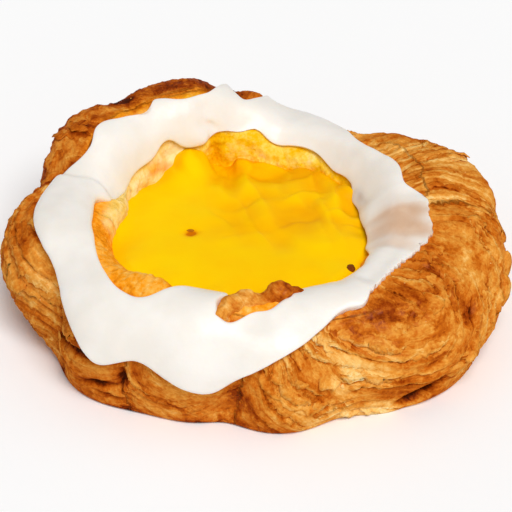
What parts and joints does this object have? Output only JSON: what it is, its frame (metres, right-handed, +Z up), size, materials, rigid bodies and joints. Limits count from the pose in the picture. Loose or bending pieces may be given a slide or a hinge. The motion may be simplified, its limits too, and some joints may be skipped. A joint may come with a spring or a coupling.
{
  "type": "danish pastry",
  "caption": "Danish pastry: laminated dough folded into a ring of lobes round a well of set custard, with white icing poured over the rim.",
  "frame": {"origin": "on the surface the pastry rests on, under the middle of its bounding box", "axes": "+X to the right along the longest extent, from the left roll to the right roll, +Y from the front, where the icing runs down, to the back, +Z up, the shortest extent"},
  "size_m": [0.1098, 0.0926, 0.0379],
  "materials": {
    "crust": "baked, flaky, golden to caramel brown",
    "custard": "moist, softly glossy set custard",
    "icing": "set white sugar icing with a soft sheen"
  },
  "bodies": {
    "root": {"dough": "crust", "custard": "custard", "icing": "icing"}
  },
  "joints": []
}
